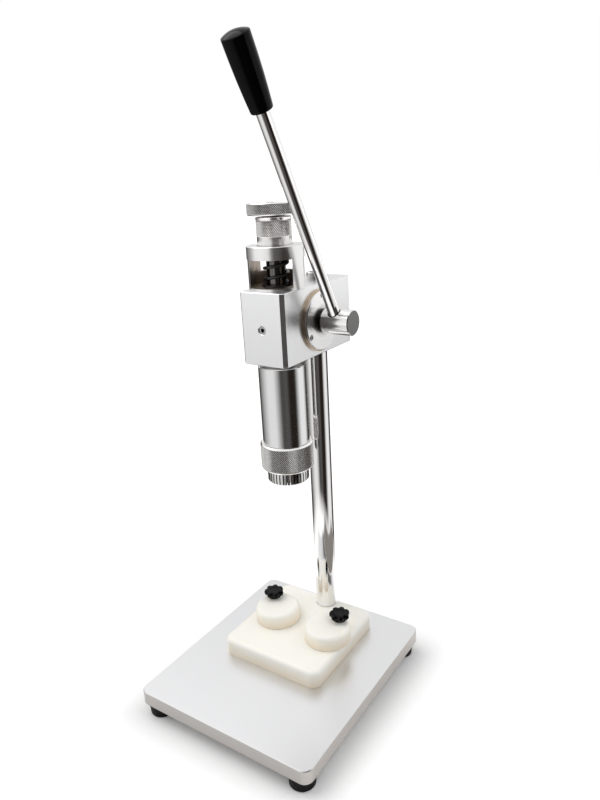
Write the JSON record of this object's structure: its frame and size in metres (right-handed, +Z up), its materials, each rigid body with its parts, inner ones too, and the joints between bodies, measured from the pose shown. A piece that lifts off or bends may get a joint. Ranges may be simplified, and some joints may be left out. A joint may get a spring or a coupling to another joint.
{
  "type": "bottle crimping press",
  "caption": "Hand-lever bench press with a rack-driven spindle and slotted crimping collet over a nest plate with eccentric discs.",
  "frame": {"origin": "on the floor, under the middle of the base plate", "axes": "+Z up along the spindle and column, +X to the lever's side, the operator stands at -Y"},
  "size_m": [0.22, 0.2518, 0.6667],
  "materials": {
    "satin_steel": "satin",
    "bright_steel": "polished",
    "chrome": "polished",
    "dark_steel": "blackened",
    "bronze": "machined",
    "brass": "machined",
    "white_plastic": "smooth",
    "black_plastic": "gloss",
    "black_rubber": "matte"
  },
  "bodies": {
    "frame": {"base_plate": "satin_steel", "rubber_feet": "black_rubber", "foot_screws": "bright_steel", "column": "chrome", "column_washer": "bright_steel", "column_bolt": "bright_steel", "nest_plate": "white_plastic", "nest_screws": "bright_steel", "disc_studs": "bright_steel", "disc_washers": "bright_steel", "head_block": "satin_steel", "column_top_screw": "bright_steel", "guide_screw": "bright_steel", "column_lock_screw": "bright_steel", "flanged_bush": "bronze", "bearing_cover": "bright_steel", "cover_screws": "bright_steel", "blind_bush": "bronze", "spring_cage": "satin_steel", "spring_seat": "dark_steel", "return_spring": "dark_steel"},
    "lever": {"lever_shaft": "chrome", "gear_key": "bright_steel", "gear_circlip": "bright_steel", "pinion_gear": "satin_steel", "lever_rod": "chrome", "lever_grip": "black_plastic", "lever_lock_screw": "bright_steel"},
    "spindle": {"quill": "satin_steel", "outer_sleeve": "chrome", "collet": "satin_steel", "centre_presser": "brass", "draw_rod": "dark_steel", "knob_spacer": "dark_steel"},
    "nut": {"collet_nut": "satin_steel"},
    "cup": {"spring_cup": "satin_steel"},
    "knob": {"stop_knob": "satin_steel"},
    "left_eccentric": {"left_disc": "white_plastic"},
    "right_eccentric": {"right_disc": "white_plastic"},
    "left_star": {"left_star_knob": "black_plastic", "left_star_knob_insert": "brass"},
    "right_star": {"right_star_knob": "black_plastic", "right_star_knob_insert": "brass"}
  },
  "joints": [
    {"name": "lever_hinge", "type": "hinge", "parent": "frame", "child": "lever", "pos_m": [0, 0.06, 0.4165], "axis": [1, 0, 0], "range_deg": [0, 106.9], "stiffness_Nm_per_rad": 4.7, "springref_deg": -14.32},
    {"name": "quill_slide", "type": "slide", "parent": "frame", "child": "spindle", "axis": [0, 0, -1], "range_m": [0, 0.028], "deforming": ["return_spring"]},
    {"name": "stop_knob_turn", "type": "hinge", "parent": "spindle", "child": "knob", "pos_m": [0, 0.0272, 0.5244], "axis": [0, 0, 1], "range_deg": [-180, 180]},
    {"name": "spring_cup_turn", "type": "hinge", "parent": "spindle", "child": "cup", "pos_m": [0, 0.0272, 0.4881], "axis": [0, 0, 1], "range_deg": [-180, 180]},
    {"name": "collet_nut_turn", "type": "hinge", "parent": "spindle", "child": "nut", "pos_m": [0, 0.0272, 0.2622], "axis": [0, 0, 1], "range_deg": [-180, 180]},
    {"name": "left_disc_turn", "type": "hinge", "parent": "frame", "child": "left_eccentric", "pos_m": [-0.0478, 0.048, 0.0508], "axis": [0, 0, 1], "continuous": true},
    {"name": "right_disc_turn", "type": "hinge", "parent": "frame", "child": "right_eccentric", "pos_m": [0.0452, 0.048, 0.0508], "axis": [0, 0, 1], "continuous": true},
    {"name": "left_star_knob_turn", "type": "hinge", "parent": "frame", "child": "left_star", "pos_m": [-0.0478, 0.048, 0.0688], "axis": [0, 0, 1], "range_deg": [-180, 180]},
    {"name": "right_star_knob_turn", "type": "hinge", "parent": "frame", "child": "right_star", "pos_m": [0.0452, 0.048, 0.0688], "axis": [0, 0, 1], "range_deg": [-180, 180]}
  ],
  "couplings": [
    {"joint": "quill_slide", "follows": "lever_hinge", "m_per_rad": 0.015}
  ]
}
